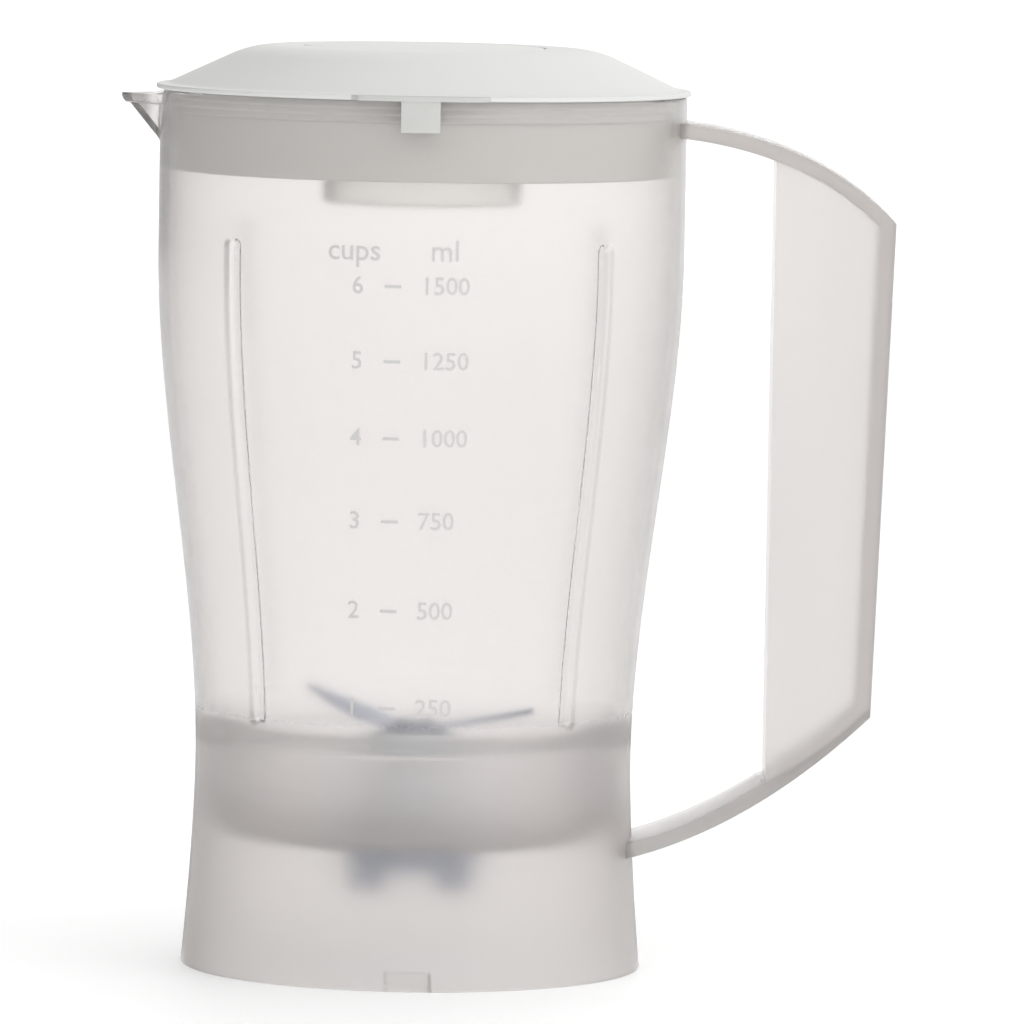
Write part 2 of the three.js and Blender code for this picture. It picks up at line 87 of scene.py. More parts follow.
class Shading:
    # the node tree of a material or a world, and the few moves used to fill it
    def __init__(self, owner, endKind="OutputMaterial"):
        owner.use_nodes = True
        self.owner = owner
        self.tree = owner.node_tree
        self.tree.nodes.clear()
        self.end = self.tree.nodes.new("ShaderNode" + endKind)

    def node(self, kind, settings=None, inputs=None, output=0):
        node = self.tree.nodes.new("ShaderNode" + kind)
        for name, setting in (settings or {}).items():
            setattr(node, name, setting)
        for name, given in (inputs or {}).items():
            if isinstance(given, Value):
                self.tree.links.new(given.socket, node.inputs[name])
            else:
                node.inputs[name].default_value = given
        return Value(self.tree, node.outputs[output])

    def place(self):
        return self.node("TexCoord", output=3)  # object coordinates, in metres

    def axis(self, index):
        return self.node("SeparateXYZ", inputs={"Vector": self.place()}, output=index)

    def noise(self, scale, detail=2.0, stretch=(1, 1, 1)):
        where = self.node("Mapping", inputs={"Vector": self.place(), "Scale": stretch})
        return self.node("TexNoise", inputs={"Vector": where, "Scale": scale, "Detail": detail})

    def blend(self, share, first, second):
        settings = {"data_type": "RGBA", "clamp_factor": True}
        return self.node("Mix", settings, {0: share, 6: first, 7: second}, output=2)

    def tinted(self, colour, tint):
        settings = {"data_type": "RGBA", "blend_type": "MULTIPLY"}
        return self.node("Mix", settings, {0: 1.0, 6: colour, 7: tint}, output=2)

    def fade(self, value, start, end, low=0, high=1):
        limits = {"Value": value, "From Min": start, "From Max": end, "To Min": low, "To Max": high}
        return self.node("MapRange", {"interpolation_type": "SMOOTHSTEP"}, limits)

    def bump(self, height, distance, strength):
        return self.node("Bump", inputs={"Height": height, "Distance": distance, "Strength": strength})

    def absorb(self, colour, density):
        inside = self.node("VolumeAbsorption", inputs={"Color": rgba(*colour), "Density": density})
        self.tree.links.new(inside.socket, self.end.inputs["Volume"])

    def surface(self, inputs, kind="BsdfPrincipled"):
        shader = self.node(kind, inputs=inputs)
        self.tree.links.new(shader.socket, self.end.inputs["Surface"])
        return self.owner


def rgba(red, green, blue):
    return (red, green, blue, 1.0)


frostedLook = {
    "clear": (0.985, 0.974, 0.964),
    "cloudy": (0.975, 0.952, 0.946),
    "cloudScale": 26,  # per metre
    "cloudStretch": (1, 1, 0.35),
    "transmission": 0.93,
    "roughness": 0.21,
    "skirtRoughness": 0.46,
    "bowlRoughness": 0.62,
    "softFrom": 60 * mm,  # the wall grows softer from here up to clear
    "softTo": 71 * mm,
    "ior": 1.22,
    "absorbed": (0.54, 0.50, 0.47),
    "density": 29,  # per metre
    "skirtTint": (0.93, 0.925, 0.92),  # darker towards the bottom of the skirt's outer wall
    "skirtFrom": 52 * mm,
    "skirtTo": 38 * mm,
    "skirtInner": 53 * mm,  # what lies outside this radius is skirt, what lies inside it is bowl
    "skirtSoft": 0.03,
    # painted light: the bowl's surfaces lifted above the wall's colour, a little bluer
    "bowlPaintedLight": (1.015, 1.026, 1.037),
    "spoutPaintedShade": (0.70, 0.70, 0.70),  # painted shade: the spout's plastic darkened to grey
    "spoutTip": -72.5 * mm,
    "spoutRoot": -69.5 * mm,
    "grain": 900,  # per metre
    "grainDepth": 0.004 * mm,
    "grainBump": 0.35,
    "roughSpread": 0.08,
}
satin = {
    "cloudScale": 38,
    "cloudDetail": 4.0,
    "cloudShare": 0.6,
    "grainDetail": 3.0,
    "grainBump": 0.5,
    "roughSpread": 0.14,
    "paintedLightBand": 1 * mm,
}


def makeFrosted(name, look):
    made = Shading(bpy.data.materials.new(name))
    clouds = made.noise(look["cloudScale"], 3.0, look["cloudStretch"])
    grain = made.noise(look["grain"], 2.0)
    made.absorb(look["absorbed"], look["density"])
    across, along, height = [made.axis(i) for i in range(3)]
    limit = look["skirtInner"] ** 2
    soft = look["skirtSoft"]
    outside = made.fade(across * across + along * along, limit * (1 - soft), limit * (1 + soft))
    skirt = made.fade(height, foot + look["skirtTo"], foot + look["skirtFrom"], 1, 0) * outside
    low = made.fade(height, foot + look["softFrom"], foot + look["softTo"], 1, 0)
    bowl = low * (1 - outside)
    milky = made.blend(clouds, rgba(*look["clear"]), rgba(*look["cloudy"]))
    shade = made.blend(skirt, milky, made.tinted(milky, rgba(*look["skirtTint"])))
    # painted shade darkens the spout
    spout = made.fade(across, look["spoutTip"], look["spoutRoot"], 1, 0)
    shade = made.blend(spout, shade, made.tinted(shade, rgba(*look["spoutPaintedShade"])))
    rough = low * outside * (look["skirtRoughness"] - look["roughness"])
    rough = rough + bowl * (look["bowlRoughness"] - look["roughness"])
    return made.surface({
        # painted light lifts the bowl's colour above the wall's
        "Base Color": made.blend(bowl, shade, made.tinted(milky, rgba(*look["bowlPaintedLight"]))),
        "Roughness": look["roughness"] + rough + (grain - 0.5) * look["roughSpread"],
        "IOR": look["ior"],
        "Transmission Weight": look["transmission"],
        "Normal": made.bump(grain, look["grainDepth"], look["grainBump"]),
    })


def makeSatin(name, light, dark, roughness, grainScale=700, grainDepth=0.02 * mm, metallic=0.0,
              stretch=(1, 1, 1), belowRimPaintedLight=None):
    made = Shading(bpy.data.materials.new(name))
    clouds = made.noise(satin["cloudScale"], satin["cloudDetail"])
    grain = made.noise(grainScale, satin["grainDetail"], stretch)
    share = satin["cloudShare"]
    shade = made.blend(clouds * share + grain * (1 - share), rgba(*dark), rgba(*light))
    # painted light: the lid below the rim, seen through the jug's wall, made lighter
    if belowRimPaintedLight:
        height = made.axis(2)
        below = made.fade(height, rim - satin["paintedLightBand"], rim, 1, 0)
        shade = made.blend(below, shade, made.tinted(shade, rgba(*belowRimPaintedLight)))
    return made.surface({
        "Base Color": shade,
        "Roughness": roughness + (grain - 0.5) * satin["roughSpread"],
        "Metallic": metallic,
        "Normal": made.bump(grain, grainDepth, satin["grainBump"]),
    })


jugPlastic = makeFrosted("frostedPolypropylene", frostedLook)
handlePlastic = makeFrosted("frostedHandle", {
    **frostedLook,
    "clear": (0.950, 0.938, 0.930),
    "cloudy": (0.940, 0.918, 0.912),
    "transmission": 0.88,
    "density": 41,
    "roughness": 0.35,
    "skirtRoughness": 0.35,
    # painted light: the lower strap, near its root, made brighter
    "skirtTint": (1.05, 1.06, 1.065),
})
capPlastic = makeFrosted("frostedCap", {
    **frostedLook,
    "clear": (0.985, 0.985, 0.97),
    "cloudy": (0.965, 0.965, 0.95),
    "density": 16,
    "roughness": 0.14,
    "bowlPaintedLight": (1, 1, 1),
})
columnPlastic = makeFrosted("blueGreyNylon", {
    **frostedLook,
    "clear": (0.93, 0.975, 1.0),
    "cloudy": (0.92, 0.965, 1.0),
    "transmission": 0.12,
    "density": 8,
    "skirtTint": (1, 1, 1),
    "bowlPaintedLight": (1, 1, 1),
})
scalePlastic = makeSatin("raisedScale", (0.68, 0.66, 0.65), (0.62, 0.605, 0.59), 0.5)
# the lid below the rim carries painted light
lidPlastic = makeSatin("milkyLid", (0.80, 0.805, 0.785), (0.77, 0.775, 0.755), 0.42,
                       grainScale=500, grainDepth=0.015 * mm, belowRimPaintedLight=(1.05, 1.055, 1.05))
# painted shade: a darker copy of the lid's plastic for the grip lip and its catch
lipPaintedShade = makeSatin("milkyLipPaintedShade", (0.64, 0.645, 0.62), (0.61, 0.615, 0.59), 0.42,
                       grainScale=500, grainDepth=0.015 * mm)
sealRubber = makeSatin("siliconeSeal", (0.84, 0.845, 0.83), (0.79, 0.795, 0.78), 0.75, grainScale=900)
nylonPlastic = makeSatin("greyNylon", (0.78, 0.83, 0.90), (0.72, 0.77, 0.84), 0.5)
couplingPlastic = makeSatin("couplingNylon", (0.36, 0.42, 0.54), (0.31, 0.37, 0.48), 0.55)
bronze = makeSatin("sinteredBronze", (0.50, 0.36, 0.19), (0.38, 0.26, 0.13), 0.42,
                   grainScale=1500, metallic=1.0)
bladeSteel = makeSatin("groundSteel", (0.42, 0.46, 0.56), (0.33, 0.37, 0.47), 0.30,
                       grainScale=500, grainDepth=0.01 * mm, metallic=1.0, stretch=(12, 1, 1))
shaftSteel = makeSatin("turnedSteel", (0.55, 0.58, 0.62), (0.45, 0.48, 0.53), 0.28,
                       grainScale=400, grainDepth=0.01 * mm, metallic=1.0, stretch=(1, 1, 14))
print("materials made")


def solidObject(name, verts, faces):
    mesh = bpy.data.meshes.new(name)
    mesh.from_pydata([tuple(v) for v in verts], [], faces)
    mesh.validate()
    work = bmesh.new()
    work.from_mesh(mesh)
    bmesh.ops.recalc_face_normals(work, faces=work.faces)
    work.to_mesh(mesh)
    work.free()
    solid = bpy.data.objects.new(name, mesh)
    bpy.context.scene.collection.objects.link(solid)
    return solid


def paint(piece, material):
    piece.data.materials.clear()
    piece.data.materials.append(material)


def addPiece(name, verts, faces, material, body, replaced=()):
    piece = solidObject(name, verts, faces)
    finishPiece(piece, material, body, replaced)
    return piece


def finishPiece(piece, material, body, replaced=()):
    paint(piece, material)
    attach(piece, body)
    if replaced:
        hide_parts(*replaced)


def smoothShade(piece, angle=32):
    for polygon in piece.data.polygons:
        polygon.use_smooth = True
    work = bmesh.new()
    work.from_mesh(piece.data)
    limit = math.radians(angle)
    for edge in work.edges:
        edge.smooth = len(edge.link_faces) == 2 and edge.calc_face_angle(0.0) < limit
    work.to_mesh(piece.data)
    work.free()


def arc(centreR, centreZ, size, start, end, steps):
    points = []
    for i in range(steps + 1):
        turn = math.radians(start + (end - start) * i / steps)
        points.append((centreR + size * math.cos(turn), centreZ + size * math.sin(turn)))
    return points


def rounded(outline, sizes, steps):
    # a closed [r, z] outline with each corner rounded by its size, or left sharp at 0
    result = []
    count = len(outline)
    for i, (corner, size) in enumerate(zip(outline, sizes)):
        here = Vector(corner)
        before = Vector(outline[i - 1])
        after = Vector(outline[(i + 1) % count])
        if size <= 0:
            result.append(tuple(here))
            continue
        reach = min(size, (before - here).length * 0.49, (after - here).length * 0.49)
        start = here + (before - here).normalized() * reach
        end = here + (after - here).normalized() * reach
        for step in range(steps + 1):
            t = step / steps
            point = start * (1 - t) ** 2 + here * 2 * t * (1 - t) + end * t * t
            result.append(tuple(point))
    return result


def revolve(name, outline, material, body, replaced, around, onAxis=False):
    # a closed [r, z] outline turned about the axis; points on the axis close the ends
    verts = []
    rings = []
    for radius, height in outline:
        if radius < 1e-7:
            rings.append([len(verts)])
            verts.append((0, 0, height))
            continue
        rings.append(list(range(len(verts), len(verts) + around)))
        for k in range(around):
            turn = 2 * math.pi * k / around
            verts.append((radius * math.cos(turn), radius * math.sin(turn), height))
    faces = []
    pairs = list(zip(rings, rings[1:]))
    if not onAxis:
        pairs.append((rings[-1], rings[0]))
    for low, high in pairs:
        for k in range(around):
            n = (k + 1) % around
            if len(low) == 1 and len(high) == 1:
                break
            if len(low) == 1:
                faces.append((low[0], high[n], high[k]))
            elif len(high) == 1:
                faces.append((low[k], low[n], high[0]))
            else:
                faces.append((low[k], low[n], high[n], high[k]))
    piece = addPiece(name, verts, faces, material, body, replaced)
    smoothShade(piece)
    return piece


def ringPiece(node, inner, outer, low, high, material, body, softness=0.25 * mm):
    # a plain ring with softened edges in place of a node
    outline = [(inner, low), (outer, low), (outer, high), (inner, high)]
    return revolve(node + "Turned", rounded(outline, [softness] * 4, 3), material, body, [node], 96)


def applyModifiers(piece):
    bpy.context.view_layer.update()
    graph = bpy.context.evaluated_depsgraph_get()
    mesh = bpy.data.meshes.new_from_object(piece.evaluated_get(graph))
    piece.modifiers.clear()
    piece.data = mesh


def combine(piece, operation, tools):
    # joins the tools to a piece or cuts them out of it, and removes them
    for tool in tools:
        step = piece.modifiers.new("combine", "BOOLEAN")
        step.operation = operation
        step.solver = "EXACT"
        step.object = tool
    applyModifiers(piece)
    for tool in tools:
        bpy.data.objects.remove(tool)


def soften(piece, width, segments, angle):
    soft = piece.modifiers.new("softEdge", "BEVEL")
    soft.width = width
    soft.segments = segments
    soft.limit_method = "ANGLE"
    soft.angle_limit = math.radians(angle)
    applyModifiers(piece)


def gridFaces(rows, around, closed=False):
    # quads between rings of points, and between the last ring and the first if closed
    faces = []
    for i in range(rows if closed else rows - 1):
        j = (i + 1) % rows
        for k in range(around):
            n = (k + 1) % around
            faces.append((i * around + k, i * around + n, j * around + n, j * around + k))
    return faces


def prismFaces(count):
    # the ends and sides of a prism whose points are listed one end after the other
    faces = [tuple(reversed(range(count))), tuple(range(count, 2 * count))]
    return faces + [(i, (i + 1) % count, (i + 1) % count + count, i + count) for i in range(count)]


def smoothStep(value, low, high):
    t = min(max((value - low) / (high - low), 0), 1)
    return t * t * (3 - 2 * t)


jug = {
    "footRadius": 59.9 * mm,
    "waistRadius": 56.7 * mm,
    "waistHeight": 54 * mm,
    "shoulderHeight": 187 * mm,
    "footFlare": 1.6,
    "wall": 2.3 * mm,
    "bowlRadius": 51.7 * mm,
    "bowlWall": 2.2 * mm,
    "floorTop": 36.3 * mm,
    "floorThickness": 2.6 * mm,
    "floorHole": 17.6 * mm,
    "bowlCorner": 8.5 * mm,
    "floorFlat": 9 * mm,
    "ledge": 62 * mm,
    "ledgeRise": 4.5 * mm,
    "ledgeThickness": 2.2 * mm,
    "ledgeBend": (0.2 * mm, 2 * mm),  # the slope's middle point, in from the wall and down
    "ledgeFoot": (2.5 * mm, 0.6 * mm),  # its lower end, out from the bowl and up
    "ledgeLip": 3 * mm,
    "ledgeLipDrop": 3.5 * mm,
    "hollowEase": 1.2 * mm,
    "rimRound": 0.8 * mm,
    "footRound": 0.5 * mm,
    "footClear": 1.2 * mm,
    "columns": 120,
    "spoutSpan": 16,  # degrees to each side with closer columns
    "spoutLimit": 20,
    "spoutRoot": 1.5 * mm,
    "spoutReach": 10 * mm,
    "spoutHeight": 14 * mm,
    "spoutHalfWidth": 14 * mm,
    "spoutDrop": 1.2 * mm,
    "spoutSoft": 0.5 * mm,
    "ribFoot": 68 * mm,
    "ribTop": 191 * mm,
    "ribHalfWidth": 2.0 * mm,
    "ribDepth": 1.0 * mm,
    "lugHalfWidth": 6 * mm,
    "lugHeight": 4.5 * mm,
    "lugReach": 3.5 * mm,
    "lugSoft": 0.35 * mm,
    "lugEdge": 0.3 * mm,
    "ribAngles": (45, 135, 225, 315),
    "lugAngles": (0, 90, 180, 270),
}
jugTall = rim - foot


def jugRadius(height):
    if height < jug["waistHeight"]:
        share = (jug["waistHeight"] - height) / jug["waistHeight"]
        return jug["waistRadius"] + (jug["footRadius"] - jug["waistRadius"]) * share ** jug["footFlare"]
    share = smoothStep(height, jug["waistHeight"], jug["shoulderHeight"])
    return jug["waistRadius"] + (shoulder - jug["waistRadius"]) * share


def bezier(a, b, c, steps):
    points = []
    for i in range(steps + 1):
        t = i / steps
        points.append(Vector(a) * (1 - t) ** 2 + Vector(b) * 2 * t * (1 - t) + Vector(c) * t * t)
    return points


def wallRun(inset, start, end, steps):
    heights = [start + (end - start) * i / steps for i in range(steps + 1)]
    return [(jugRadius(h) - inset, h) for h in heights]


def tagged(side, points):
    return [(point, side) for point in points]


def jugProfile():
    # one closed loop: outer wall up, rim, inner wall down, bowl, floor, under the bowl and down the skirt
    wall = jug["wall"]
    rimRound = jug["rimRound"]
    rimLow = jugTall - rimRound
    footRound = jug["footRound"]
    footOuter = jug["footRadius"]
    ribFoot = jug["ribFoot"]
    ribTop = jug["ribTop"]
    # stretches of wall as start, end and steps, close together where the ribs and the spout end
    lower = [(jug["footClear"], 6 * mm, 6), (8 * mm, ribFoot - 4 * mm, 14),
             (ribFoot - 3 * mm, ribFoot + 1 * mm, 10)]
    upper = [(ribFoot + 5 * mm, ribTop - 4 * mm, 34), (ribTop - 3 * mm, ribTop + 1 * mm, 10),
             (ribTop + 4 * mm, jugTall - 17 * mm, 5), (jugTall - 16 * mm, rimLow, 18)]
    loop = tagged("outer", arc(footOuter - footRound, footRound, footRound, -90, -10, 4))
    for start, end, steps in lower + upper:
        loop += tagged("outer", wallRun(0, start, end, steps))
    loop += tagged("outer", arc(shoulder - rimRound, rimLow, rimRound, 15, 90, 4))
    loop += tagged("inner", arc(shoulder - wall + rimRound, rimLow, rimRound, 90, 165, 4))
    for start, end, steps in reversed(upper):
        loop += tagged("inner", wallRun(wall, end, start, steps))
    loop += tagged("inner", wallRun(wall, ribFoot + 1 * mm, ribFoot - 1 * mm, 6))

    bowl = jug["bowlRadius"]
    inner = bowl - jug["bowlWall"]
    corner = jug["bowlCorner"]
    innerCorner = corner - jug["bowlWall"]
    ledge = jug["ledge"]
    edge = ledge + jug["ledgeRise"]
    edgeRadius = jugRadius(edge) - wall
    bendIn, bendDown = jug["ledgeBend"]
    footOut, footUp = jug["ledgeFoot"]
    slope = bezier((edgeRadius, edge), (edgeRadius - bendIn, edge - bendDown),
                   (inner + footOut, ledge + footUp), 6)
    loop += tagged("bowl", [(point.x, point.y) for point in slope])
    lip = jug["ledgeLip"]
    loop += tagged("bowl", arc(inner + lip, ledge - jug["ledgeLipDrop"], lip, 125, 180, 7))
    top = jug["floorTop"]
    under = top - jug["floorThickness"]
    hole = jug["floorHole"]
    flat = hole + jug["floorFlat"]
    loop += tagged("bowl", arc(inner - innerCorner, top + innerCorner, innerCorner, 0, -90, 12))
    loop += tagged("bowl", [(flat, top), (hole, top), (hole, under), (flat, under)])
    loop += tagged("bowl", arc(bowl - corner, under + corner, corner, -90, 0, 14))

    skirtTop = ledge - jug["ledgeThickness"]
    loop += tagged("bowl", [(bowl, skirtTop - jug["hollowEase"])])
    half = (jugRadius(skirtTop) - wall - bowl) / 2
    loop += tagged("bowl", arc(bowl + half, skirtTop - half, half, 180, 0, 8))
    lugHigh = jug["lugHeight"] + jug["lugEdge"]
    lugLow = jug["lugHeight"] - jug["lugEdge"]
    inside = [(skirtTop - 3 * mm, 6 * mm, 16), (5.2 * mm, lugHigh, 2), (lugLow, jug["footClear"], 5)]
    for start, end, steps in inside:
        loop += tagged("skirt", wallRun(wall, start, end, steps))
    loop += tagged("skirt", arc(footOuter - wall + footRound, footRound, footRound, 190, 270, 4))
    return loop


def spoutRadius(turn, height, inset):
    # the V's face at this angle from -X, or 0 below its keel
    keel = jugTall - jug["spoutDrop"] - jug["spoutHeight"]
    share = (height - keel) / jug["spoutHeight"]
    if share <= 0:
        return 0
    reach = jug["spoutReach"] + jug["spoutRoot"]
    slope = reach / jug["spoutHalfWidth"]
    tip = shoulder - jug["spoutRoot"] + reach * min(share, 1) - inset * 1.5
    return tip / (math.cos(turn) + slope * abs(math.sin(turn)))


def softMax(a, b, width):
    gap = abs(a - b)
    if gap > width:
        return max(a, b)
    return max(a, b) + (width - gap) ** 2 / (4 * width)


def nearestTurn(turn, angles):
    # from here to the nearest of some angles given in degrees
    return math.radians(min(abs((math.degrees(turn) - a + 180) % 360 - 180) for a in angles))


def ribShare(turn, height):
    # 1 on the middle line of a rib, 0 outside it, with a round top and a square foot
    across = nearestTurn(turn, jug["ribAngles"]) * jugRadius(height)
    top = jug["ribTop"] - jug["ribHalfWidth"]
    along = max(height - top, jug["ribFoot"] - height, 0)
    distance = math.hypot(across, along)
    return 1 - smoothStep(distance, jug["ribHalfWidth"] * 0.55, jug["ribHalfWidth"] * 1.12)


def lugShare(turn, height):
    across = nearestTurn(turn, jug["lugAngles"]) * jug["footRadius"]
    half, soft = jug["lugHalfWidth"], jug["lugSoft"]
    top, edge = jug["lugHeight"], jug["lugEdge"]
    side = 1 - smoothStep(across, half - soft, half + soft)
    return side * (1 - smoothStep(height, top - edge, top + edge))


def jugAngles():
    # columns: an even spread, closer ones at the ribs, at the lugs' edges and across the spout
    turns = {round(360 * i / jug["columns"], 4) for i in range(jug["columns"])}
    ribSpan = math.degrees(jug["ribHalfWidth"] * 1.3 / jug["waistRadius"])
    for middle in jug["ribAngles"]:
        turns |= {round(middle + ribSpan * (i / 8 - 1), 4) for i in range(17)}
    for middle in jug["lugAngles"]:
        for side in (-1, 1):
            edge = math.degrees(jug["lugHalfWidth"] / jug["footRadius"]) * side
            soft = math.degrees(jug["lugSoft"] / jug["footRadius"])
            turns |= {round((middle + edge + soft * k) % 360, 4) for k in (-1.2, -0.5, 0, 0.5, 1.2)}
    turns |= {round(180 + jug["spoutSpan"] * i / 24, 4) for i in range(-24, 25)}
    kept = []
    for turn in sorted(t % 360 for t in turns):
        if not kept or turn - kept[-1] > 0.08:
            kept.append(turn)
    return kept


def buildJug():
    loop = jugProfile()
    turns = jugAngles()
    wall = jug["wall"]
    verts = []
    for degrees in turns:
        turn = math.radians(degrees)
        fromSpout = abs(turn - math.pi)
        nearSpout = fromSpout < math.radians(jug["spoutLimit"])
        for (radius, height), side in loop:
            r, h = radius, height
            if side in ("outer", "inner"):
                share = ribShare(turn, height)
                r -= share * jug["ribDepth"]
                if nearSpout:
                    inset = 0 if side == "outer" else wall * 0.9
                    grown = softMax(r, spoutRadius(fromSpout, height, inset), jug["spoutSoft"])
                    if height > jugTall - 3 * mm:
                        proud = smoothStep(grown - r, 0, 1.5 * mm)
                        h = height - jug["spoutDrop"] * proud
                    r = grown
            elif side == "skirt":
                r -= lugShare(turn, height) * jug["lugReach"]
            verts.append((r * math.cos(turn), r * math.sin(turn), foot + h))
    rows = len(loop)
    faces = []
    for k in range(len(turns)):
        n = (k + 1) % len(turns)
        for i in range(rows):
            j = (i + 1) % rows
            faces.append((k * rows + i, n * rows + i, n * rows + j, k * rows + j))
    piece = addPiece("jugShell", verts, faces, jugPlastic, "jug", ["jug_body"])
    smoothShade(piece, 40)


buildJug()
print("jug built")


scale = {
    "numberSize": 6.3 * mm,
    "headingSize": 7.7 * mm,
    "proud": 0.30 * mm,
    "sunk": 0.12 * mm,
    "stroke": 0.05 * mm,
    "headHeight": 189.5 * mm,
    "headings": (("cups", -16.5 * mm), ("ml", 6.8 * mm)),
    "digitX": -15.4 * mm,
    "dashX": -6.4 * mm,
    "dashLength": 4.2 * mm,
    "dashThickness": 0.8 * mm,
    "amountX": 0.7 * mm,  # the amounts' left edge
    "marks": ((72.3, 1), (97.4, 2), (120.5, 3), (141.8, 4), (161.5, 5), (180.6, 6)),
    "mlPerCup": 250,
}


def flatText(words, along, height, size, align="CENTER"):
    # the outline of some text as a flat mesh, in metres along the wall and up it
    curve = bpy.data.curves.new("words", "FONT")
    curve.body = words
    curve.align_x = align
    curve.align_y = "CENTER"
    curve.size = size
    curve.offset = scale["stroke"]
    curve.resolution_u = 3
    curve.extrude = 0.5 * mm
    holder = bpy.data.objects.new("words", curve)
    bpy.context.scene.collection.objects.link(holder)
    bpy.context.view_layer.update()
    mesh = bpy.data.meshes.new_from_object(holder.evaluated_get(bpy.context.evaluated_depsgraph_get()))
    bpy.data.objects.remove(holder)
    verts = [(v.co.x + along, v.co.y + height, v.co.z) for v in mesh.vertices]
    faces = [tuple(p.vertices) for p in mesh.polygons]
    return verts, faces


def flatBar(middle, height, length, thickness):
    # a short dash, with its back and front like the text's
    verts = []
    for z in (-0.5 * mm, 0.5 * mm):
        for dx, dy in ((-0.5, -0.5), (0.5, -0.5), (0.5, 0.5), (-0.5, 0.5)):
            verts.append((middle + dx * length, height + dy * thickness, z))
    return verts, prismFaces(4)


def buildScale():
    pieces = [flatText(words, x, scale["headHeight"], scale["headingSize"]) for words, x in scale["headings"]]
    for height, cups in scale["marks"]:
        pieces.append(flatText(str(cups), scale["digitX"], height * mm, scale["numberSize"]))
        pieces.append(flatBar(scale["dashX"], height * mm, scale["dashLength"], scale["dashThickness"]))
        amount = str(cups * scale["mlPerCup"])
        pieces.append(flatText(amount, scale["amountX"], height * mm, scale["numberSize"], "LEFT"))
    verts = []
    faces = []
    for partVerts, partFaces in pieces:
        base = len(verts)
        for along, height, depth in partVerts:
            radius = jugRadius(height)
            radius += scale["proud"] if depth > 0 else -scale["sunk"]
            turn = -math.pi / 2 + along / radius
            verts.append((radius * math.cos(turn), radius * math.sin(turn), foot + height))
        faces += [tuple(base + i for i in face) for face in partFaces]
    addPiece("volumeScale", verts, faces, scalePlastic, "jug", [])


buildScale()
print("scale built")


handle = {
    "width": 32 * mm,
    "reach": 54.3 * mm,
    "top": 221 * mm,
    "corner": 196 * mm,
    "heel": 68 * mm,
    "foot": 30 * mm,
    "lean": 4.2 * mm,
    "strap": 3.8 * mm,
    "gripEdge": 23.2 * mm,
    "gripWall": 2.2 * mm,
    "softEdge": 0.9 * mm,
    "rootDepth": 0.9 * mm,
    "rootInside": 1 * mm,
    "topBend": (20.6 * mm, 3.5 * mm),
    "lowBend": (30.4 * mm, 8.5 * mm),
    "middle": 130 * mm,  # between the two straps
    "windowStep": 0.5 * mm,
}


def offsetLine(points, distance):
    moved = []
    for i, point in enumerate(points):
        along = points[min(i + 1, len(points) - 1)] - points[max(i - 1, 0)]
        along.normalize()
        moved.append(point + Vector((along.y, -along.x)) * distance)
    return moved


def handleBack(height):
    share = min(max((handle["corner"] - height) / (handle["corner"] - handle["heel"]), 0), 1)
    return shoulder + handle["reach"] - handle["lean"] * share


def trimmed(points, inset):
    # the part of a line that lies in front of the grip's back, cut exactly at it
    kept = []
    room = [handleBack(p.y) - inset - p.x for p in points]
    for i, point in enumerate(points):
        if i and room[i] * room[i - 1] < 0:
            share = room[i - 1] / (room[i - 1] - room[i])
            kept.append(points[i - 1].lerp(point, share))
        if room[i] > 0:
            kept.append(point)
    return kept


def prism(name, outline, halfWidth):
    # an [x, height] outline as a solid, centred on the XZ plane
    count = len(outline)
    verts = [(p.x, side * halfWidth, foot + p.y) for side in (-1, 1) for p in outline]
    faces = [tuple(range(count)), tuple(range(2 * count - 1, count - 1, -1))]
    faces += [(i, i + count, (i + 1) % count + count, (i + 1) % count) for i in range(count)]
    return solidObject(name, verts, faces)


def buildHandle():
    outer = shoulder + handle["reach"]
    heel = outer - handle["lean"]
    strap = handle["strap"]
    steps = 28
    bendIn, bendDown = handle["topBend"]
    top = bezier((shoulder - jug["wall"], handle["top"]), (outer - bendIn, handle["top"] - bendDown),
                 (outer, handle["corner"]), steps)
    bendIn, bendUp = handle["lowBend"]
    low = bezier((heel, handle["heel"]), (heel - bendIn, handle["foot"] + bendUp),
                 (jug["waistRadius"] - handle["rootInside"], handle["foot"]), steps)
    hollow = trimmed(offsetLine(top, strap), strap) + trimmed(offsetLine(low, strap), strap)
    edge = shoulder + handle["gripEdge"]
    front = [p for p in hollow if p.x < edge]
    upper = [p for p in front if p.y > handle["middle"]]
    lower = [p for p in front if p.y <= handle["middle"]]
    step = handle["windowStep"]
    corners = [Vector((edge, upper[-1].y - step)), Vector((edge, lower[0].y + step))]
    body = prism("handleShell", top + low, handle["width"] / 2)
    channel = prism("channel", hollow, handle["width"] / 2 - handle["gripWall"])
    gap = prism("gap", upper + corners + lower, handle["width"])
    combine(body, "DIFFERENCE", [channel, gap])
    soften(body, handle["softEdge"], 3, 50)
    combine(body, "DIFFERENCE", [wallPlug(handle["rootDepth"])])
    finishPiece(body, handlePlastic, "jug", ["handle"])
    smoothShade(body, 35)


def wallPlug(inset):
    # the jug's outside as one closed solid, used to end the handle inside the wall
    around = 160
    rows = 61
    verts = []
    for row in range(rows):
        height = jugTall * row / (rows - 1)
        radius = jugRadius(height) - inset
        for k in range(around):
            turn = 2 * math.pi * k / around
            verts.append((radius * math.cos(turn), radius * math.sin(turn), foot + height))
    ends = [tuple(reversed(range(around))), tuple(range(len(verts) - around, len(verts)))]
    return solidObject("wallPlug", verts, ends + gridFaces(rows, around))


buildHandle()
print("handle built")


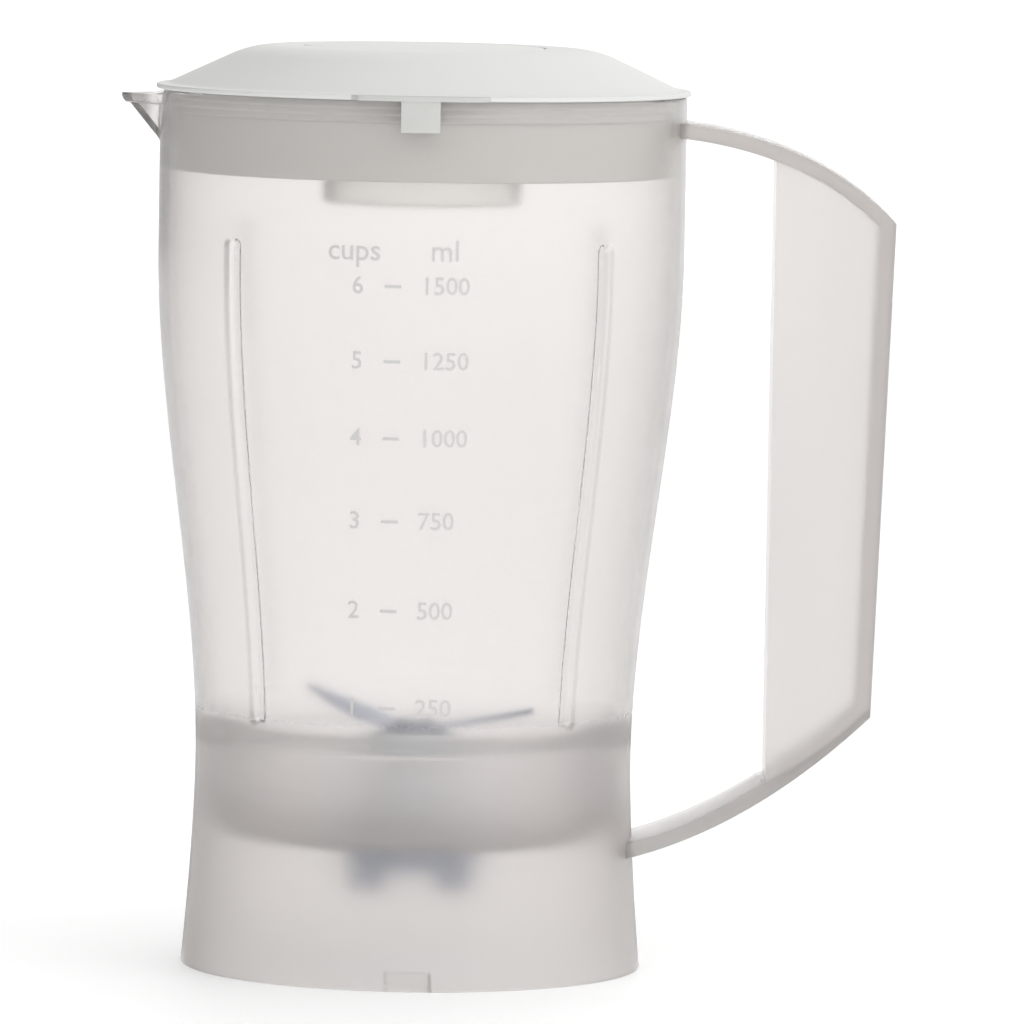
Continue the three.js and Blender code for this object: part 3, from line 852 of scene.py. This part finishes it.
lid = {
    "flangeOverhang": 1.0 * mm,
    "flangeThickness": 1.3 * mm,
    "gap": 0.3 * mm,
    "plateau": 12 * mm,
    "domeSlope": 24,
    "domeStep": 2.6 * mm,  # flat part of the flange around the dome
    "domeDrop": 1.4 * mm,
    "domeEase": 2 * mm,
    "domeInside": 4 * mm,
    "domeUnder": 1 * mm,
    "wall": 2.0 * mm,
    "skirtDepth": 20.5 * mm,
    "skirtWall": 1.8 * mm,
    "sealThickness": 0.8 * mm,
    "capRadius": 25.75 * mm,
    "capWall": 1.7 * mm,
    "capLength": 40.5 * mm,
    "capDisc": 31 * mm,
    "capFloor": 1 * mm,
    "capDiscDepth": 2 * mm,
    "collarDepth": 15 * mm,
    "lipHalfWidth": 18.5 * mm,
    "lipReach": 3.2 * mm,
    "lipRoot": 1.2 * mm,
    "lipWaist": 2.4 * mm,
    "lipSoft": 0.35 * mm,
    "catchWidth": 10 * mm,
    "catchDepth": 7.6 * mm,
    "catchThickness": 1.8 * mm,
    "catchGap": 1.7 * mm,
    "catchTop": 0.4 * mm,
    "sealWaist": 0.35 * mm,
    "sealBands": 3,
    "sealEdge": 0.1 * mm,
}
plateauTop = rim + lid["plateau"]
recessFloor = plateauTop - lid["capWall"] - lid["gap"]


def buildLid():
    wall = lid["wall"]
    gap = lid["gap"]
    face = rim + gap
    flangeTop = face + lid["flangeThickness"]
    flangeOuter = shoulder + lid["flangeOverhang"]
    slope = math.tan(math.radians(lid["domeSlope"]))
    coneFoot = flangeOuter - lid["domeStep"]
    coneTop = coneFoot - (plateauTop - lid["domeDrop"] - flangeTop) / slope
    skirtOuter = shoulder - jug["wall"] - gap - lid["sealThickness"] - gap
    skirtInner = skirtOuter - lid["skirtWall"]
    skirtLow = rim - lid["skirtDepth"]
    collarInner = lid["capRadius"] + gap
    collarOuter = collarInner + wall
    recess = lid["capDisc"] + gap * 2
    collarLow = recessFloor - lid["collarDepth"]
    inside = recessFloor - wall
    # each corner's radius and height with its rounding in mm
    corners = [
        (flangeOuter, face, 0.5), (flangeOuter, flangeTop, 0.5), (coneFoot, flangeTop, 2.5),
        (coneTop - lid["domeEase"], plateauTop, 9), (recess, plateauTop, 0.4), (recess, recessFloor, 0.3),
        (collarInner, recessFloor, 0.5), (collarInner, collarLow, 0.5), (collarOuter, collarLow, 0.5),
        (collarOuter, inside, 1.0), (coneTop - lid["domeInside"], inside, 5),
        (skirtInner, flangeTop - wall + lid["domeUnder"], 2.5), (skirtInner, skirtLow, 0.6),
        (skirtOuter, skirtLow, 0.6), (skirtOuter, face, 0.3),
    ]
    outline = rounded([corner[:2] for corner in corners], [corner[2] * mm for corner in corners], 8)
    revolve("lidShell", outline, lidPlastic, "lid", ["lid"], 192)
    lip = gripLip(face, flangeTop, coneFoot, flangeOuter + lid["lipReach"])
    finishPiece(lip, lipPaintedShade, "lid", [])


def gripLip(low, high, inner, outer):
    # the widened front of the flange, with its catch hanging outside the wall
    half = math.asin(lid["lipHalfWidth"] / outer)
    root = inner + lid["lipRoot"]
    waist = inner + lid["lipWaist"]
    steps = 28
    verts = []
    for i in range(steps + 1):
        share = 2 * i / steps - 1
        turn = -math.pi / 2 + half * share
        ease = 1 - smoothStep(abs(share), 0.82, 1.0) * 0.92
        edge = waist + (outer - waist) * ease
        for radius, height in ((root, low), (edge, low), (edge, high), (root, high)):
            verts.append((radius * math.cos(turn), radius * math.sin(turn), height))
    ends = [(3, 2, 1, 0), tuple(steps * 4 + k for k in range(4))]
    lip = solidObject("lidGripLip", verts, ends + gridFaces(steps + 1, 4))
    back = -(shoulder + lid["catchGap"])
    front = back - lid["catchThickness"]
    side = lid["catchWidth"] / 2
    corners = [(x, y, z) for z in (rim - lid["catchDepth"], high - lid["catchTop"])
               for x, y in ((-side, front), (side, front), (side, back), (-side, back))]
    combine(lip, "UNION", [solidObject("catch", corners, prismFaces(4))])
    soften(lip, lid["lipSoft"], 2, 50)
    smoothShade(lip, 35)
    return lip


def buildSeal():
    low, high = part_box("lid_seal")
    outer = high.x
    inner = outer - lid["sealThickness"]
    waist = outer - lid["sealWaist"]
    edge = lid["sealEdge"]
    step = (high.z - low.z) / lid["sealBands"]
    outline = [(inner, low.z)]
    for i in range(lid["sealBands"]):
        base = low.z + step * i
        outline += [(waist, base + edge), (outer, base + step * 0.3), (outer, base + step * 0.6),
                    (waist, base + step - edge)]
    outline += [(inner, high.z)]
    revolve("lidSealRibbed", outline, sealRubber, "lid", ["lid_seal"], 160)


def buildCap():
    low = plateauTop - lid["capLength"]
    outer = lid["capRadius"]
    inner = outer - lid["capWall"]
    under = plateauTop - lid["capWall"]
    floor = under - lid["capFloor"]
    disc = lid["capDisc"]
    corners = [(0, plateauTop), (disc, plateauTop), (disc, under), (outer, under), (outer, low), (inner, low),
               (inner, floor), (0, floor)]
    sizes = [size * mm for size in (0, 0.5, 0.4, 0.4, 1.2, 0.6, 3, 0)]
    outline = rounded(corners, sizes, 5)
    body = revolve("capShell", outline, capPlastic, "cap", ["measuring_cap"], 160, True)
    body.data.materials.append(lidPlastic)
    for face in body.data.polygons:
        face.material_index = 1 if face.center.z > under - lid["capDiscDepth"] else 0


buildLid()
buildSeal()
buildCap()
print("lid and cap built")


unit = {
    "columnRadius": 12.5 * mm,
    "flangeRadius": 21.0 * mm,
    "spigotRadius": 16.8 * mm,
    "bushRadius": 6.7 * mm,
    "bore": 4.3 * mm,
    "lip": 1.0 * mm,
    "gap": 0.3 * mm,
    "flangeHeight": 2.4 * mm,
    "sealHeight": 1.5 * mm,
    "mouth": 0.7 * mm,
    "sealInset": 1.1 * mm,
    "nutGrips": 8,
    "nutGripDepth": 0.9 * mm,
    "nutGripEdge": (0.75, 0.9),
}


def buildHousing():
    low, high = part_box("bearing_housing")
    spigot, flange, column = unit["spigotRadius"], unit["flangeRadius"], unit["columnRadius"]
    bore = unit["bushRadius"] + unit["gap"]
    mouth = unit["bore"] + unit["mouth"]
    lipLow = high.z - unit["lip"]
    flangeLow = foot + jug["floorTop"] + unit["sealHeight"] + 2 * unit["gap"]
    flangeTop = flangeLow + unit["flangeHeight"]
    corners = [(bore, low.z), (spigot, low.z), (spigot, flangeLow), (flange, flangeLow), (flange, flangeTop),
               (column, flangeTop), (column, high.z), (mouth, high.z), (mouth, lipLow), (bore, lipLow)]
    sizes = [size * mm for size in (0.4, 0.6, 0.3, 0.6, 0.9, 1.8, 1.2, 0.3, 0.2, 0.2)]
    outline = rounded(corners, sizes, 5)
    revolve("bearingHousingTurned", outline, columnPlastic, "bearing_unit", ["bearing_housing"], 128)


def buildNut():
    low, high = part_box("housing_nut")
    inner = unit["spigotRadius"] + unit["gap"]
    outer = high.x
    around = 256
    outline = rounded([(inner, low.z), (outer, low.z), (outer, high.z), (inner, high.z)], [0.4 * mm] * 4, 3)
    verts = []
    for radius, height in outline:
        outside = radius > (inner + outer) / 2
        for k in range(around):
            turn = 2 * math.pi * k / around
            wave = smoothStep(math.cos(turn * unit["nutGrips"]), *unit["nutGripEdge"]) if outside else 0
            r = radius - wave * unit["nutGripDepth"]
            verts.append((r * math.cos(turn), r * math.sin(turn), height))
    faces = gridFaces(len(outline), around, True)
    piece = addPiece("ringNut", verts, faces, couplingPlastic, "nut", ["housing_nut"])
    smoothShade(piece, 40)


def ringFromBox(node, inner, material, body, softness=0.25 * mm):
    low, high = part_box(node)
    ringPiece(node, inner, high.x, low.z, high.z, material, body, softness)


buildHousing()
buildNut()
ringFromBox("floor_seal", unit["spigotRadius"] + unit["sealInset"], sealRubber, "bearing_unit", 0.5 * mm)
ringFromBox("upper_bush", unit["bore"], bronze, "bearing_unit")
ringFromBox("lower_bush", unit["bore"], bronze, "bearing_unit")
ringFromBox("shaft_seal", unit["bore"], sealRubber, "bearing_unit", 0.6 * mm)
ringFromBox("nut_washer", unit["spigotRadius"] + unit["gap"], couplingPlastic, "nut_washer")
ringFromBox("upper_thrust_washer", unit["bore"], nylonPlastic, "rotor", 0.15 * mm)
ringFromBox("lower_thrust_washer", unit["bore"], nylonPlastic, "rotor", 0.15 * mm)
ringFromBox("blade_spacer", unit["bore"], shaftSteel, "rotor", 0.3 * mm)
ringFromBox("coupling_insert", unit["bore"], bronze, "rotor")
ringFromBox("coupling_clip", unit["bore"], shaftSteel, "rotor", 0.2 * mm)
print("bearing unit built")


blade = {
    "thickness": 1.5 * mm,
    "hubRadius": 8.4 * mm,
    "bore": 4.3 * mm,
    "reach": 34 * mm,
    "chord": 9.5 * mm,
    "start": 5 * mm,
    "tip": 1.2 * mm,
    "wings": ({"turn": -27, "rise": 5.7 * mm, "pitch": 7, "sweep": 1.5 * mm, "bend": 1.2},
              {"turn": 149, "rise": 7.8 * mm, "pitch": -9, "sweep": -2 * mm, "bend": 1.45}),
    "shaftRadius": 4 * mm,
    "rivetHeight": 0.8 * mm,
    "edgeGrind": 0.35,
    "edgeThickness": 0.18,  # share of the full thickness
    "grindRise": 1.4,
    "wingInset": 0.2 * mm,
    "pitchEnd": 0.4,  # share of the length over which the pitch grows
    "taper": 2.6,
    "sweepPower": 1.5,
    "bow": 1.2,
}


def buildShaft():
    low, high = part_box("blade_shaft")
    radius = blade["shaftRadius"]
    rivet = high.x
    rivetLow = high.z - blade["rivetHeight"]
    corners = [(0, low.z), (radius, low.z), (radius, rivetLow), (rivet, rivetLow), (rivet, high.z), (0, high.z)]
    sizes = [0, 0.6 * mm, 0, 0.2 * mm, 0.7 * mm, 0]
    outline = rounded(corners, sizes, 6)
    revolve("bladeShaftTurned", outline, shaftSteel, "rotor", ["blade_shaft"], 96, True)


def wingSection(share, wing):
    # leading and trailing edge of a wing at a share of its length, before it is bent
    half = blade["chord"] / 2 * (1 - share ** blade["taper"]) + blade["tip"] / 2
    bow = blade["bow"] * 2 * share * (1 - share)
    drift = wing["sweep"] * (share ** blade["sweepPower"] + bow)
    return drift - half, drift + half


def buildWing(wing, bottom):
    length = blade["reach"] - blade["start"]
    thickness = blade["thickness"]
    along = 40
    across = 12
    verts = []
    for i in range(along + 1):
        share = i / along
        front, back = wingSection(share, wing)
        angle = math.radians(wing["pitch"]) * smoothStep(share, 0, blade["pitchEnd"])
        rise = wing["rise"] * share ** wing["bend"] + bottom + thickness / 2
        for side in (1, -1):
            for j in range(across + 1):
                t = j / across if side > 0 else 1 - j / across
                y = front + (back - front) * t
                grind = blade["edgeThickness"] + min(t, 1 - t) / blade["edgeGrind"] * blade["grindRise"]
                z = side * (thickness - blade["wingInset"]) / 2 * min(1, grind)
                verts.append(Vector((share * length + blade["start"],
                                     y * math.cos(angle) - z * math.sin(angle),
                                     y * math.sin(angle) + z * math.cos(angle) + rise)))
    ring = 2 * (across + 1)
    faces = gridFaces(along + 1, ring)
    faces += [tuple(reversed(range(ring))), tuple(range(along * ring, (along + 1) * ring))]
    turn = Matrix.Rotation(math.radians(wing["turn"]), 3, "Z")
    return [turn @ v for v in verts], faces


def buildBlade():
    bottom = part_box("blade_spacer")[1].z + unit["gap"]
    top = bottom + blade["thickness"]
    bore, hub = blade["bore"], blade["hubRadius"]
    sizes = [size * mm for size in (0.1, 0.3, 0.3, 0.1)]
    outline = rounded([(bore, bottom), (hub, bottom), (hub, top), (bore, top)], sizes, 3)
    piece = revolve("bladeGround", outline, bladeSteel, "rotor", ["blade"], 96)
    combine(piece, "UNION", [solidObject("wing", *buildWing(wing, bottom)) for wing in blade["wings"]])
    paint(piece, bladeSteel)
    smoothShade(piece, 30)


buildShaft()
buildBlade()
print("blade built")


coupling = {
    "radius": 16 * mm,
    "web": 3.22 * mm,
    "dogs": 2,
    "dogAngle": 76,
    "insert": 7.7 * mm,
    "dogInner": 8.3 * mm,
    "dogOverlap": 0.6 * mm,
    "soft": 0.6 * mm,
}


def buildCoupling():
    low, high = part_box("drive_coupling")
    inner, outer = coupling["insert"], coupling["radius"]
    web = high.z - coupling["web"]
    sizes = [size * mm for size in (0, 0, 0.7, 0.3)]
    outline = rounded([(inner, web), (outer, web), (outer, high.z), (inner, high.z)], sizes, 4)
    body = revolve("driveCouplingMoulded", outline, couplingPlastic, "rotor", ["drive_coupling"], 128)
    dogs = []
    steps = 14
    half = math.radians(coupling["dogAngle"] / 2)
    turns = [2 * half * i / steps - half for i in range(steps + 1)]
    for d in range(coupling["dogs"]):
        middle = 2 * math.pi * d / coupling["dogs"]
        flat = [(outer, middle + turn) for turn in turns]
        flat += [(coupling["dogInner"], middle - turn) for turn in turns]
        levels = (low.z, web + coupling["dogOverlap"])
        verts = [(r * math.cos(t), r * math.sin(t), z) for z in levels for r, t in flat]
        dogs.append(solidObject("dog", verts, prismFaces(len(flat))))
    combine(body, "UNION", dogs)
    soften(body, coupling["soft"], 3, 40)
    paint(body, couplingPlastic)
    smoothShade(body, 35)


buildCoupling()
print("coupling built")


stage = {
    "floorSize": 6.0,
    "floorShade": (0.97, 0.97, 0.97),
    "floorGlow": 0.27,
    "worldBack": 1.20,
    "worldSide": (0.16, 0.66),  # towards the spout, towards the handle
    "worldFront": 0.84,
    "sideFades": ((-0.5, 0.05), (0.1, 0.9)),
    "frontFade": (-0.8, 0.2),
    "lights": (("keySoftbox", (-1.1, -1.3, 1.5), 7.0), ("fillSoftbox", (1.4, -0.9, 1.0), 5.0)),
    "lightSize": 1.2,
    "lightAim": 0.12,
    "sensor": 36,
    "cameraDistance": 2.45,
    "cameraHeight": 0.318,
    "aimX": 0.0247,
    "aimHeight": 0.1185,
    "fieldWidth": 0.2665,
    "roll": 1.0,
}


def buildFloor():
    half = stage["floorSize"] / 2
    verts = [(-half, -half, foot), (half, -half, foot), (half, half, foot), (-half, half, foot)]
    mesh = bpy.data.meshes.new("paleFloor")
    mesh.from_pydata(verts, [], [(0, 1, 2, 3)])
    floor = bpy.data.objects.new("paleFloor", mesh)
    bpy.context.scene.collection.objects.link(floor)
    made = Shading(bpy.data.materials.new("paleFloor"))
    speck = made.noise(60, 2.0)
    floor.data.materials.append(made.surface({
        "Base Color": rgba(*stage["floorShade"]),
        "Roughness": 0.6 + (speck - 0.5) * 0.05,
        "Emission Color": rgba(1, 1, 1),
        "Emission Strength": stage["floorGlow"],
    }))


def buildWorld():
    # a white studio, dimmer in front and to both sides than behind; seen directly, it is plain white
    world = bpy.data.worlds.new("softWhite")
    made = Shading(world, "OutputWorld")
    way = made.node("TexCoord", output=0)
    across = made.node("SeparateXYZ", inputs={"Vector": way})
    along = made.node("SeparateXYZ", inputs={"Vector": way}, output=1)
    left, right = stage["worldSide"]
    leftFade, rightFade = stage["sideFades"]
    lit = made.fade(across, *leftFade, left, 1) * made.fade(across, *rightFade, 1, right)
    lit = lit * made.fade(along, *stage["frontFade"], stage["worldFront"], 1)
    seen = made.node("LightPath")
    strength = (seen + (1 - seen) * lit) * stage["worldBack"]
    made.surface({"Color": rgba(1, 1, 1), "Strength": strength}, "Background")
    bpy.context.scene.world = world


def areaLight(name, place, energy):
    data = bpy.data.lights.new(name, "AREA")
    data.shape = "SQUARE"
    data.size = stage["lightSize"]
    data.energy = energy
    light = bpy.data.objects.new(name, data)
    light.location = Vector(place) + Vector((0, 0, foot))
    aim = Vector((0, 0, foot + stage["lightAim"]))
    light.rotation_euler = (aim - light.location).to_track_quat("-Z", "Y").to_euler()
    bpy.context.scene.collection.objects.link(light)


def buildCamera():
    data = bpy.data.cameras.new("viewCamera")
    camera = bpy.data.objects.new("viewCamera", data)
    aim = Vector((stage["aimX"], 0, foot + stage["aimHeight"]))
    camera.location = (stage["aimX"], -stage["cameraDistance"], foot + stage["cameraHeight"])
    look = aim - camera.location
    roll = Matrix.Rotation(math.radians(stage["roll"]), 4, "Z")
    camera.rotation_euler = (look.to_track_quat("-Z", "Y").to_matrix().to_4x4() @ roll).to_euler()
    data.sensor_width = stage["sensor"]
    data.lens = stage["sensor"] * look.length / stage["fieldWidth"]
    data.clip_end = 30
    bpy.context.scene.collection.objects.link(camera)
    bpy.context.scene.camera = camera


buildFloor()
buildWorld()
for name, place, energy in stage["lights"]:
    areaLight(name, place, energy)
buildCamera()
bpy.context.scene.view_settings.view_transform = "Standard"
bpy.context.scene.view_settings.look = "None"
print("stage built")
